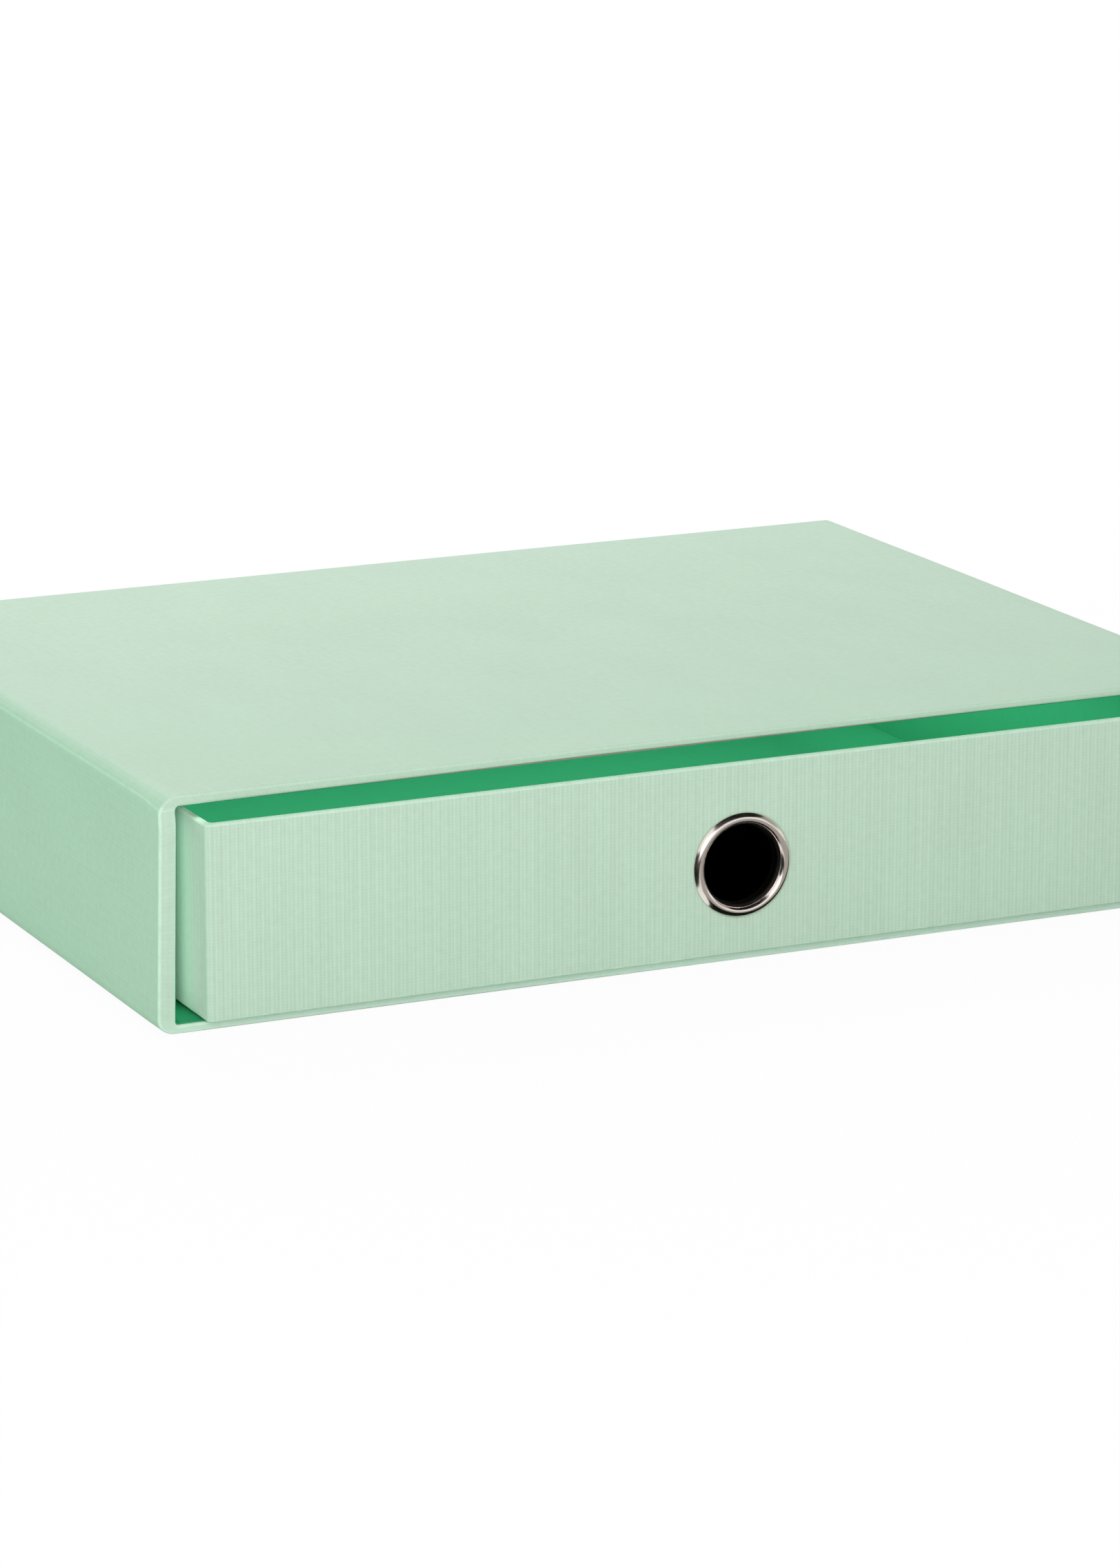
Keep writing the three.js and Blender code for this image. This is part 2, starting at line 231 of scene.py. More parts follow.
class Ring:
    """Where the points of every outline lie: on straights, as a share of the way
    between two corners, and on corners, as an angle."""

    def __init__(self, across, up, corner, start):
        signs = np.array([(1, -1), (1, 1), (-1, 1), (-1, -1)], float)
        parts = []
        for index, sign in enumerate(signs):
            way = straight(across, FIRST_ACROSS) if index % 2 else straight(up, FIRST_UP)
            turn = np.concatenate([np.arange(corner) / corner - 1, np.zeros(len(way))])
            way = np.concatenate([np.zeros(corner), way])[:, None]
            side = sign + (signs[(index + 1) % 4] - sign) * way
            parts.append(np.column_stack([side, QUARTER * (index + turn)]))
        shift = -sum(len(part) for part in parts[:start])
        self.side_x, self.side_y, self.angle = np.roll(np.concatenate(parts), shift, 0).T
        self.count = len(self.angle)

    def points(self, outlines, middle_y):
        """Point (j, i) is the corner's centre of outline j plus its radius towards the
        angle of sample i."""
        half_x, half_y, radius = (outlines[:, k, None] for k in range(3))
        x = self.side_x * (half_x - radius) + radius * np.cos(self.angle)
        y = middle_y + self.side_y * (half_y - radius) + radius * np.sin(self.angle)
        return x, y


def inset(outline, distance):
    """Rows of half width, half height and corner radius, one for each distance that
    the outline is drawn in by."""
    half_x, half_y, radius = outline
    distance = np.atleast_1d(np.asarray(distance, float))
    corner = np.maximum(radius - distance, LEAST_RADIUS)
    return np.stack([half_x - distance, half_y - distance, corner], 1)


def levels(*marks, spacing):
    """Numbers from the first mark to the last, through all marks, no further apart
    than spacing."""
    parts = [
        np.linspace(a, b, max(1, int(np.ceil(abs(b - a) / spacing))), endpoint=False)
        for a, b in zip(marks[:-1], marks[1:])
    ]
    return np.concatenate([*parts, [marks[-1]]])


class Run:
    """Outlines with their heights and the share of fold wear and painted highlight at each, in
    order.
    """

    def __init__(self):
        self.parts = []

    def add(self, outlines, heights, wear_and_highlight=0.0):
        count = max(len(outlines), np.size(heights))
        columns = [np.broadcast_to(column, count) for column in (heights, wear_and_highlight)]
        self.parts.append(np.column_stack([np.broadcast_to(outlines, (count, 3)), *columns]))

    def fold(self, middle, height, radius, first, last, steps=6):
        """An arc of the given radius about a middle outline, from one angle to
        another; the wear and painted highlight are greatest halfway round it."""
        angle = np.linspace(first, last, steps + 1)
        wear_and_highlight = np.sin(np.linspace(0.0, np.pi, steps + 1))
        rows = inset(middle, -radius * np.cos(angle))
        self.add(rows, height + radius * np.sin(angle), wear_and_highlight)

    def arrays(self):
        rows = np.concatenate(self.parts)
        return rows[:, :3], rows[:, 3], rows[:, 4]


def outwards(vertices, faces):
    """True where the closed skin's volume, the sum of its faces' cones, is positive."""
    a, b, c, d = (vertices[faces[:, k]] for k in range(4))
    return (a * (np.cross(b, c) + np.cross(c, d))).sum() > 0


def make_piece(name, vertices, faces, uv=None, wear_and_highlight=None, sharp=40.0):
    """Puts the arrays into a mesh: quads by index, their corners' UV in metres, and the
    wear and painted highlight of each vertex."""
    faces = faces.reshape(-1, 4)
    uv = None if uv is None else uv.reshape(-1, 4, 2)
    if not outwards(vertices, faces):
        faces = faces[:, ::-1]
        uv = None if uv is None else uv[:, ::-1]
    mesh = bpy.data.meshes.new(name)
    mesh.vertices.add(len(vertices))
    mesh.vertices.foreach_set("co", vertices.astype(np.float32).ravel())
    mesh.loops.add(faces.size)
    mesh.loops.foreach_set("vertex_index", faces.astype(np.int32).ravel())
    mesh.polygons.add(len(faces))
    starts = np.arange(0, faces.size, 4, dtype=np.int32)
    mesh.polygons.foreach_set("loop_start", starts)
    mesh.polygons.foreach_set("use_smooth", np.ones(len(faces), bool))
    mesh.update(calc_edges=True)
    if uv is not None:
        layer = mesh.uv_layers.new(name="surface")
        layer.data.foreach_set("uv", uv.astype(np.float32).ravel())
    if wear_and_highlight is not None:
        attribute = mesh.attributes.new("wear_and_highlight", "FLOAT", "POINT")
        attribute.data.foreach_set("value", wear_and_highlight.astype(np.float32))
    mesh.validate()
    mesh.set_sharp_from_angle(angle=np.radians(sharp))
    piece = bpy.data.objects.new(name, mesh)
    bpy.context.scene.collection.objects.link(piece)
    return piece


def grid_faces(rows, columns):
    """Quads of a grid that closes on itself both ways, as (rows, columns, 4) indices."""
    j, i = np.meshgrid(np.arange(rows), np.arange(columns), indexing="ij")
    here, there, on = j * columns, (j + 1) % rows * columns, (i + 1) % columns
    return np.stack([here + i, here + on, there + on, there + i], -1)


def grid_uv(around, along):
    """UV of each quad's corners: the way round the outline and the way along the run."""
    u0, u1 = around[:-1][None, :], around[1:][None, :]
    v0, v1 = along[:-1][:, None], along[1:][:, None]
    u = np.stack(np.broadcast_arrays(u0, u1, u1, u0), -1)
    v = np.stack(np.broadcast_arrays(v0, v0, v1, v1), -1)
    return np.stack(np.broadcast_arrays(u, v), -1)


def steps_between(points):
    """Lengths from each point of a closed line to the next, summed from zero."""
    apart = np.linalg.norm(np.roll(points, -1, axis=0) - points, axis=1)
    return np.concatenate([[0.0], np.cumsum(apart)])


def skin(run, ring, middle_y, to_place):
    """Surface of a run carried round the ring: point (j, i) is sample i of outline j at
    height j. Returns the placed points, the faces, their UV and the wear and painted
    highlight."""
    rows, heights, wear_and_highlight = run.arrays()
    x, y = ring.points(rows, middle_y)
    z = np.broadcast_to(heights[:, None], x.shape)
    points = np.stack([x, y, z], -1)
    around = steps_between(points[np.argmax(rows[:, 0])])
    along = steps_between(points[:, np.argmax(ring.side_x)])
    worn_and_lit = np.repeat(wear_and_highlight, ring.count)
    faces, uv = grid_faces(*x.shape), grid_uv(around, along)
    return to_place(points.reshape(-1, 3)), faces, uv, worn_and_lit


def perimeter(low, high, left, right):
    """Row and column numbers once round a patch of the grid, anticlockwise."""
    columns, rows = np.arange(left, right), np.arange(low, high)
    row = [np.full(len(columns), low), rows, np.full(len(columns), high), rows[::-1] + 1]
    column = [columns, np.full(len(rows), right), columns[::-1] + 1, np.full(len(rows), left)]
    return np.concatenate(row), np.concatenate(column)


def patches_round(points, ring, centre, reach):
    """The two patches of the grid, one in each skin of the front wall, that lie within
    reach of the hole's centre: their lowest and highest rows and columns."""
    facing = np.isclose(ring.angle, 3 * QUARTER) | np.isclose(ring.angle, -QUARTER)
    grid = points.reshape(-1, ring.count, 3)
    columns = np.where(facing & (np.abs(grid[0, :, 0] - centre[0]) <= reach))[0]
    rows = np.where(np.abs(grid[:, columns[0], 2] - centre[2]) <= reach)[0]
    split = np.where(np.diff(rows) > 1)[0][0] + 1
    left, right = columns.min(), columns.max()
    return [(part.min(), part.max(), left, right) for part in (rows[:split], rows[split:])]


def bore(points, faces, uv, worn_and_lit, ring, centre, radius, reach, rings=3):
    """Bores a round hole through both skins of a wall that faces -Y. In each skin a
    patch of the grid gives way to rings that pass, as a straight mix, from the patch's
    edge to the circle; a short tube joins the two circles."""
    keep = np.ones(faces.shape[:2], bool)
    new_points, new_faces, circles = [], [], []
    total = len(points)
    for order, patch in enumerate(patches_round(points, ring, centre, reach)):
        low, high, left, right = patch
        keep[low:high, left:right] = False
        row, column = perimeter(*patch)
        if order == 1:
            row = low + high - row
        corners = row * ring.count + column
        edge = points[corners]
        turn = np.arctan2(edge[:, 2] - centre[2], edge[:, 0] - centre[0])
        circle = edge.copy()
        circle[:, 0] = centre[0] + radius * np.cos(turn)
        circle[:, 2] = centre[2] + radius * np.sin(turn)
        mix = (np.arange(1, rings + 1) / rings)[:, None, None]
        added = edge + (circle - edge) * mix
        index = total + np.arange(rings * len(edge)).reshape(rings, -1)
        loops = np.concatenate([corners[None], index])
        here, there = loops[:-1], loops[1:]
        quads = np.stack([here, np.roll(here, -1, 1), np.roll(there, -1, 1), there], -1)
        new_points.append(added.reshape(-1, 3))
        new_faces.append((quads if order == 0 else quads[..., ::-1]).reshape(-1, 4))
        circles.append(index[-1])
        total += index.size
        if order == 0:
            start_uv, start = uv[low, left, 0], edge[0]
    outer, inner = circles
    new_faces.append(np.stack([outer, np.roll(outer, -1), np.roll(inner, -1), inner], -1))
    points = np.concatenate([points, *new_points])
    extra = np.concatenate(new_faces)
    uv = np.concatenate([uv[keep], start_uv + (points[extra] - start)[..., [0, 2]]])
    worn_and_lit = np.concatenate([worn_and_lit, np.zeros(len(points) - len(worn_and_lit))])
    return points, np.concatenate([faces[keep], extra]), uv, worn_and_lit


def wander(points, amount, seed):
    """Moves points by a smooth field, the sum of a few long sine waves along each axis,
    as pasted papers and sawn boards stray from true."""
    draw = np.random.default_rng(seed)
    moved = np.zeros_like(points)
    for _ in range(WAVES):
        wave = draw.normal(size=(3, 3)) / WAVE_LENGTH
        phase = draw.uniform(0, 2 * np.pi, 3)
        moved += np.sin(points @ wave + phase)
    return points + moved * amount / WAVES


# The two trays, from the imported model's places


def fold_middle(outline, distance):
    """The outline that a fold of that radius turns about."""
    return tuple(inset(outline, distance)[0])


def cover_run(outer, mouth, sizes, deep, marks=(), spacing=5 * MM):
    """The cover paper's run: from its margin under the base, round the base's fold, up
    the wall, over the mouth's edge, down inside to the end of the turn-in, and back
    beneath itself."""
    fold, thin = sizes.fold, sizes.thickness
    base, high = thin + sizes.glue, deep - fold
    middle, turned = fold_middle(outer, fold), fold_middle(mouth, -fold)
    margin = levels(sizes.base_margin, fold + MM / 2, fold, spacing=3 * MM)
    wall = levels(base + fold, base + 2 * fold, *marks, high - fold, high, spacing=spacing)
    inside = levels(high, high - fold, deep - sizes.turn_in, spacing=2 * MM)
    run = Run()
    run.add(inset(outer, margin[:-1]), base)
    run.fold(middle, base + fold, fold, -QUARTER, 0)
    run.add(inset(outer, 0.0), wall[1:-1])
    run.fold(middle, high, fold, 0, QUARTER)
    run.add(np.linspace(middle, turned, 7)[1:-1], deep)
    run.fold(turned, high, fold, QUARTER, 2 * QUARTER)
    run.add(inset(mouth, 0.0), inside[1:])
    run.add(inset(mouth, -thin), np.array([deep - sizes.turn_in, deep - thin]))
    run.add(inset(outer, thin), np.array([deep - thin, *wall[-2:0:-1], base + thin]))
    run.add(inset(outer, sizes.base_margin), base + thin)
    return run


def lining_run(faces, sizes, low, deep, marks=(), spacing=5 * MM):
    """The lining's run: up against the board, over the turned-in cover, up to its cut
    edge near the mouth, and down again on the side that shows."""
    thin = sizes.thickness
    sheet = np.array([thin, thin, 0.0])
    step = deep - sizes.turn_in - sizes.glue
    first, second = inset(faces, sizes.glue), inset(faces, 2 * sizes.glue + thin)
    wall = levels(low, *marks, step - CLIMB, spacing=spacing)
    upper = levels(step, deep - sizes.setback, spacing=2 * MM)
    slope = np.linspace(0.0, 1.0, 7)
    ease = slope * slope * (3 - 2 * slope)
    rows = first + (second - first) * ease[:, None]
    climb = step - CLIMB + CLIMB * slope
    run = Run()
    run.add(first, wall[:-1])
    run.add(rows, climb)
    run.add(second, upper[1:])
    run.add(second - sheet, upper[:0:-1])
    run.add((rows - sheet)[::-1], climb[::-1])
    run.add(first - sheet, wall[-2::-1])
    return run


def sleeve_frame():
    """The sleeve's tray lies on its side: its height is from the back to the mouth. The
    outline's half sizes and middle, its depth, and the way from tray to part."""
    low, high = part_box("sleeve_cover")
    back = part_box("sleeve_back_sheet")[1].y
    middle = (low.z + high.z) / 2

    def to_place(points):
        return np.stack([points[:, 0], back - points[:, 2], points[:, 1]], -1)

    return (high.x - low.x) / 2, (high.z - low.z) / 2, middle, back - low.y, to_place


def drawer_frame():
    """The drawer's tray stands upright: half sizes, height, foot, and the way to the
    part."""
    low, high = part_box("drawer_cover")
    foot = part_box("drawer_underside_sheet")[0].z
    shift = np.array([(low.x + high.x) / 2, (low.y + high.y) / 2, foot])

    def to_place(points):
        return points + shift

    return (high.x - low.x) / 2, (high.y - low.y) / 2, high.z - foot, foot, to_place


def board_faces(node, sizes):
    """The inner faces of a tray's boards, just outside its wall lining."""
    low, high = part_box(node)
    across = (high.z - low.z) if node.startswith("sleeve") else (high.y - low.y)
    return (high.x - low.x) / 2 + sizes.glue, across / 2 + sizes.glue, sizes.inner_corner


def mouth_outline(node, sizes):
    """The inner side of the cover where it is turned in at a mouth."""
    return fold_middle(board_faces(node, sizes), sizes.thickness + sizes.glue)


def part_way(values, start, reach):
    """Nothing up to the start, one from the reach beyond it, in proportion between."""
    return np.clip((values - start) / reach, 0, 1)


def lean_out(points, amount):
    """The sleeve's left side stands out a little at its foot: by the amount there, less
    in proportion to the way up, and less towards the right."""
    low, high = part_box("sleeve_cover")
    up = part_way(points[:, 2], low.z, high.z - low.z)
    right = part_way(points[:, 0], low.x, LEAN_REACH)
    moved = points.copy()
    moved[:, 0] -= amount * (1 - up) * (1 - right) ** 2
    return moved


def slope_back(points, sizes):
    """The top's edge at the mouth slopes back and grows thicker to the left: y grows,
    and z falls in proportion to the way left, with the way down through the top. The
    left wall grows thicker too: x grows with the way in through the wall, and less
    beyond it. The shifts die out down the sides and behind the mouth."""
    low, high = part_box("sleeve_cover")
    x, y, z = points.T
    wall = sizes.board + 2 * sizes.thickness + 2 * sizes.glue
    at_mouth = 1 - part_way(y, low.y, MOUTH_REACH)
    through = np.clip((high.z - z) / wall, 0, 1)
    top = through * part_way(z, high.z - TOP_START, TOP_REACH) * at_mouth
    left = 1 - part_way(x, low.x, SAG_REACH)
    inwards = part_way(x, low.x, SWELL_REACH)
    beyond = part_way(x, low.x + SWELL_END, SWELL_FADE)
    moved = points.copy()
    moved[:, 0] += sizes.swell * inwards * (1 - beyond) * at_mouth
    moved[:, 1] += sizes.slope * top
    moved[:, 2] -= sizes.sag * top * left
    return moved


def finish_piece(piece, body, material, node):
    """Dresses a new piece, lets it ride on its body and stand for its node."""
    piece.data.materials.append(material)
    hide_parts(node)
    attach(piece, body)


# Materials


def rgba(three):
    return (*three, 1.0)


class Nodes:
    """The nodes of a material or of the world, made one by one: a value goes into a
    socket, a socket is linked to it, and each node gives one of its outputs."""

    def __init__(self, owner):
        owner.use_nodes = True
        self.owner = owner
        self.tree = owner.node_tree
        self.tree.nodes.clear()

    def add(self, kind, inputs=(), out=0, **options):
        node = self.tree.nodes.new("ShaderNode" + kind)
        for key, value in options.items():
            setattr(node, key, value)
        for key, value in dict(inputs).items():
            socket = node.inputs[key]
            if isinstance(value, bpy.types.NodeSocket):
                self.tree.links.new(value, socket)
            else:
                socket.default_value = value
        return node.outputs[out] if node.outputs else None

    def math(self, operation, first, second):
        return self.add("Math", {0: first, 1: second}, operation=operation)

    def mix(self, share, first, second, blend="MIX"):
        inputs = {0: share, 6: first, 7: second}
        return self.add("Mix", inputs, 2, data_type="RGBA", blend_type=blend)

    def noise(self, vector, scale, detail=2.0, roughness=0.5):
        inputs = {"Vector": vector, "Scale": scale, "Detail": detail, "Roughness": roughness}
        return self.add("TexNoise", inputs)

    def stretch(self, vector, scale, turn=(0.0, 0.0, 0.0)):
        inputs = {"Vector": vector, "Scale": scale, "Rotation": turn}
        return self.add("Mapping", inputs)

    def spread(self, value, low, high, bottom=0.0, top=1.0):
        inputs = {0: value, 1: low, 2: high, 3: bottom, 4: top}
        return self.add("MapRange", inputs)

    def bands(self, vector, along, period, distortion, grain):
        """Waves one period apart across the named axis, strayed by a noise."""
        inputs = {
            "Vector": vector,
            "Scale": WAVE_PERIOD / period,
            "Distortion": distortion,
            "Detail": 2.0,
            "Detail Scale": grain,
        }
        return self.add("TexWave", inputs, 1, wave_type="BANDS", bands_direction=along)

    def total(self, start, *terms):
        """The start plus every term's value times its weight."""
        for value, weight in terms:
            start = self.math("ADD", start, self.math("MULTIPLY", value, weight))
        return start

    def vary(self, colour, *terms):
        """A colour times the sum of one and each pattern's weighted stray from half."""
        strays = [(self.math("SUBTRACT", value, 0.5), weight) for value, weight in terms]
        return self.brighten(colour, self.total(1.0, *strays))

    def brighten(self, colour, amount):
        """A colour times an amount."""
        grey = self.add("CombineColor", {0: amount, 1: amount, 2: amount})
        return self.mix(1.0, rgba(colour), grey, "MULTIPLY")

    def glow(self, colour, strength, kind="Emission"):
        return self.add(kind, {"Color": rgba(colour), "Strength": strength})

    def diffuse(self, colour):
        return self.add("BsdfDiffuse", {"Color": colour})

    def close(self, shader, output="OutputMaterial"):
        self.add(output, {"Surface": shader})
        return self.owner

    def finish(self, colour, rough, height, depth, strength, more):
        """Closes the material: its colour and roughness, a bump that follows a height,
        and more sockets by name."""
        bump = self.add("Bump", {"Height": height, "Distance": depth, "Strength": strength})
        inputs = {"Base Color": colour, "Roughness": rough, "Normal": bump, **more}
        return self.close(self.add("BsdfPrincipled", inputs))


def start_material(name, source="object"):
    """A material's empty nodes, the colours, and coordinates in metres: the piece's own
    UV or the object's."""
    nodes = Nodes(bpy.data.materials.new(name))
    if source == "uv":
        place = nodes.add("UVMap", uv_map="surface")
    else:
        place = nodes.add("TexCoord", out="Object")
    return nodes, bpy.context.scene.filebox_finishes, place


def linen_paper(name, source="uv", strength=1.0):
    """Embossed cover paper: ribs one pitch apart that stray and thicken, finer and
    broader ones among them, a faint cross thread, fibres, and folds made paler by wear
    and painted highlight."""
    nodes, finishes, flat = start_material(name, source)
    pitch = finishes.rib_pitch
    ribs = []
    for stretch, period, distortion, weight in (
        ((1, 0.045, 1), pitch, 3.2, 0.50),
        ((1, 0.080, 1), pitch * 0.58, 4.0, 0.28),
        ((1, 0.030, 1), pitch * 2.1, 5.0, 0.22),
    ):
        wave = nodes.bands(nodes.stretch(flat, stretch), "X", period, distortion, 0.35)
        ribs.append(nodes.math("MULTIPLY", wave, weight))
    rib = nodes.math("ADD", nodes.math("ADD", ribs[0], ribs[1]), ribs[2])
    thread = nodes.bands(nodes.stretch(flat, (0.05, 1, 1)), "Y", pitch * 0.7, 5.0, 0.4)
    fibre = nodes.noise(flat, 2600.0, 3.0, 0.6)
    cloud = nodes.noise(nodes.stretch(flat, (1, 0.6, 1)), 42.0, 4.0, 0.55)
    mottle = nodes.noise(flat, 420.0, 3.0, 0.6)
    streak = nodes.noise(nodes.stretch(flat, (1, 0.05, 1)), 260.0, 3.0, 0.6)
    colour = nodes.vary(
        finishes.linen,
        (rib, finishes.rib_tone * strength),
        (cloud, 0.07),
        (streak, 0.09 * strength),
        (fibre, 0.10),
        (thread, 0.03),
        (mottle, 0.13),
    )
    # The folds are painted paler: partly wear, partly painted highlight
    if source == "uv":
        worn_and_lit = nodes.add("Attribute", out="Fac", attribute_name="wear_and_highlight")
        patchy = nodes.spread(nodes.noise(flat, 260.0, 3.0), 0.3, 0.7, 0.35, 0.75)
        worn_and_lit = nodes.math("MULTIPLY", worn_and_lit, patchy)
        colour = nodes.mix(worn_and_lit, colour, rgba(finishes.linen_fold_wear_highlight))
    rough = nodes.spread(fibre, 0.3, 0.7, 0.66, 0.84)
    height = nodes.total(rib, (thread, 0.30), (fibre, 0.25), (cloud, 1.2))
    depth = finishes.rib_depth * strength
    return nodes.finish(colour, rough, height, depth, 0.8, {"Specular IOR Level": 0.35})


def lining_paper(name, source="uv"):
    """Plain lining paper: matt, with cloudy formation, fibres and a faint machine grain."""
    nodes, finishes, flat = start_material(name, source)
    cloud = nodes.noise(flat, 150.0, 5.0, 0.6)
    grain = nodes.noise(nodes.stretch(flat, (1, 0.12, 1)), 1400.0, 3.0, 0.6)
    fibre = nodes.noise(flat, 3800.0, 3.0, 0.65)
    colour = nodes.vary(finishes.lining, (cloud, 0.10), (grain, 0.12), (fibre, 0.14))
    rough = nodes.spread(fibre, 0.3, 0.7, 0.78, 0.94)
    height = nodes.total(fibre, (grain, 0.6))
    return nodes.finish(colour, rough, height, 0.02 * MM, 0.7, {"Specular IOR Level": 0.25})


def grey_board(name):
    """Raw grey board: pressed waste paper with layers, fibres and dark and pale flecks."""
    nodes, finishes, solid = start_material(name)
    cloud = nodes.noise(solid, 90.0, 5.0, 0.6)
    fibre = nodes.noise(nodes.stretch(solid, (1, 1, 6)), 900.0, 4.0, 0.65)
    fleck = nodes.add("TexVoronoi", {"Vector": solid, "Scale": 700.0}, "Distance")
    dark = nodes.spread(fleck, 0.0, 0.16, 0.45, 0.0)
    bright = nodes.total(0.72, (cloud, 0.25), (fibre, 0.35))
    colour = nodes.mix(dark, nodes.brighten(finishes.board, bright), rgba(finishes.fleck))
    rough = nodes.spread(cloud, 0.3, 0.7, 0.86, 0.97)
    return nodes.finish(colour, rough, fibre, 0.08 * MM, 0.8, {"Specular IOR Level": 0.2})


def nickel(name):
    """Bright nickel plate: fine handling marks, a slight cloud in its gloss, and painted
    shade that darkens the barrel by the way in behind the flange."""
    nodes, finishes, solid = start_material(name)
    cloud = nodes.noise(solid, 160.0, 4.0, 0.6)
    marks = nodes.noise(nodes.stretch(solid, (0.3, 1, 1), (0.0, 0.6, 0.0)), 2600.0, 3.0, 0.7)
    tint = nodes.spread(cloud, 0.3, 0.7, 0.0, 0.35)
    colour = nodes.mix(tint, rgba(finishes.metal), rgba(finishes.metal_cloud))
    depth = nodes.add("SeparateXYZ", {0: solid}, 1)
    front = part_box("finger_ring")[0].y
    # Painted shade: the barrel darkens with its depth behind the flange
    painted_shade = nodes.spread(depth, front + PAINTED_SHADE_START, front + PAINTED_SHADE_END)
    colour = nodes.mix(painted_shade, colour, rgba(finishes.barrel))
    rough = nodes.total(nodes.spread(cloud, 0.3, 0.7, 0.10, 0.18), (marks, 0.06))
    return nodes.finish(colour, rough, marks, 0.004 * MM, 0.5, {"Metallic": 1.0})


def sleeve_skin(run, ring, sizes):
    """A paper round the sleeve: its run carried round the walls, with the bends at the
    mouth, its wander and its lean."""
    _, _, middle, _, to_place = sleeve_frame()
    points, quads, uv, worn_and_lit = skin(run, ring, middle, to_place)
    points = wander(slope_back(points, sizes), sizes.wave, 4)
    return lean_out(points, sizes.lean), quads, uv, worn_and_lit


# Operators: one for each piece or group of like pieces, and one for the stage


class FILEBOX_OT_sleeve_cover(bpy.types.Operator):
    """The sleeve's cover paper, from its margin on the back to its turn-in"""

    bl_idname = "filebox.sleeve_cover"
    bl_label = "Sleeve cover"

    def execute(self, context):
        sizes = context.scene.filebox_papers
        half_x, half_y, middle, deep, _ = sleeve_frame()
        outer = (half_x, half_y, sizes.sleeve_corner)
        run = cover_run(outer, mouth_outline("sleeve_bay_lining", sizes), sizes, deep)
        ring = Ring(across=90, up=24, corner=24, start=0)
        points, quads, uv, worn_and_lit = sleeve_skin(run, ring, sizes)
        # The crease along the upper left corner is painted as a thin pale line: wear with a
        # painted highlight
        upper_left = (ring.side_x < 0) & (ring.side_y > 0)
        apart = (ring.angle - np.radians(sizes.crease)) / CREASE_SPREAD
        crease = CREASE_WEAR_AND_HIGHLIGHT * np.exp(-(apart**2)) * upper_left
        worn_and_lit = np.maximum(worn_and_lit, np.tile(crease, len(worn_and_lit) // ring.count))
        # Less of the fold's wear and painted highlight is kept on the top's edge at the mouth,
        # which paints that edge darker
        at_mouth = points[:, 1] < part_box("sleeve_cover")[0].y + TOP_EDGE
        at_top = points[:, 2] > half_y + middle - TOP_EDGE
        worn_and_lit = worn_and_lit * np.where(at_mouth & at_top, TOP_EDGE_WEAR_AND_HIGHLIGHT, 1.0)
        piece = make_piece("sleeve_cover_paper", points, quads, uv, worn_and_lit)
        linen = linen_paper("sleeve linen", "uv", 0.3)
        finish_piece(piece, "sleeve", linen, "sleeve_cover")
        return {"FINISHED"}


class FILEBOX_OT_sleeve_lining(bpy.types.Operator):
    """The lining round the sleeve's inside, over the turned-in cover"""

    bl_idname = "filebox.sleeve_lining"
    bl_label = "Sleeve lining"

    def execute(self, context):
        sizes = context.scene.filebox_papers
        deep = sleeve_frame()[3]
        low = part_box("sleeve_back_sheet")[1].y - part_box("sleeve_bay_lining")[1].y
        run = lining_run(board_faces("sleeve_bay_lining", sizes), sizes, low, deep)
        ring = Ring(across=90, up=24, corner=8, start=0)
        piece = make_piece("sleeve_lining_paper", *sleeve_skin(run, ring, sizes))
        lining = lining_paper("sleeve lining")
        finish_piece(piece, "sleeve", lining, "sleeve_bay_lining")
        return {"FINISHED"}


def folded_line(low, high, radius, sizes, steps=8):
    """Points in x and z once round a rectangle with round corners, anticlockwise from
    one end of the board to the other at the seam in the underside: each corner's centre
    plus the radius towards the angle."""
    angle = QUARTER * (np.arange(4)[:, None] - 1 + np.linspace(0, 1, steps + 1)[None, :])
    right, top = np.array([1, 1, 0, 0])[:, None], np.array([0, 1, 1, 0])[:, None]
    x = low.x + radius + right * (high.x - low.x - 2 * radius) + radius * np.cos(angle)
    z = low.z + radius + top * (high.z - low.z - 2 * radius) + radius * np.sin(angle)
    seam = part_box("sleeve_wrap_board")[1].x - sizes.board_seam
    x = [seam + sizes.seam_gap, *x.ravel(), seam]
    return np.stack([x, [low.z, *z.ravel(), low.z]], 1)


def strip(outer, inner, first, last, sizes, depths=25):
    """A closed strip: the line of outer points and the line of inner points turned back
    form one outline, which is carried along y from the first depth to the last. Its two
    end faces are bands between the lines."""
    line = np.concatenate([outer, inner[::-1]])
    count = len(line)
    y = np.repeat(np.linspace(first, last, depths), count)
    points = np.stack([np.tile(line[:, 0], depths), y, np.tile(line[:, 1], depths)], 1)
    sides = grid_faces(depths, count)[:-1].reshape(-1, 4)
    i = np.arange(len(outer) - 1)
    near = np.stack([i + 1, i, count - 1 - i, count - 2 - i], 1)
    far = near[:, ::-1] + count * (depths - 1)
    bent = lean_out(slope_back(points, sizes), sizes.lean)
    return bent, np.concatenate([sides, near, far])


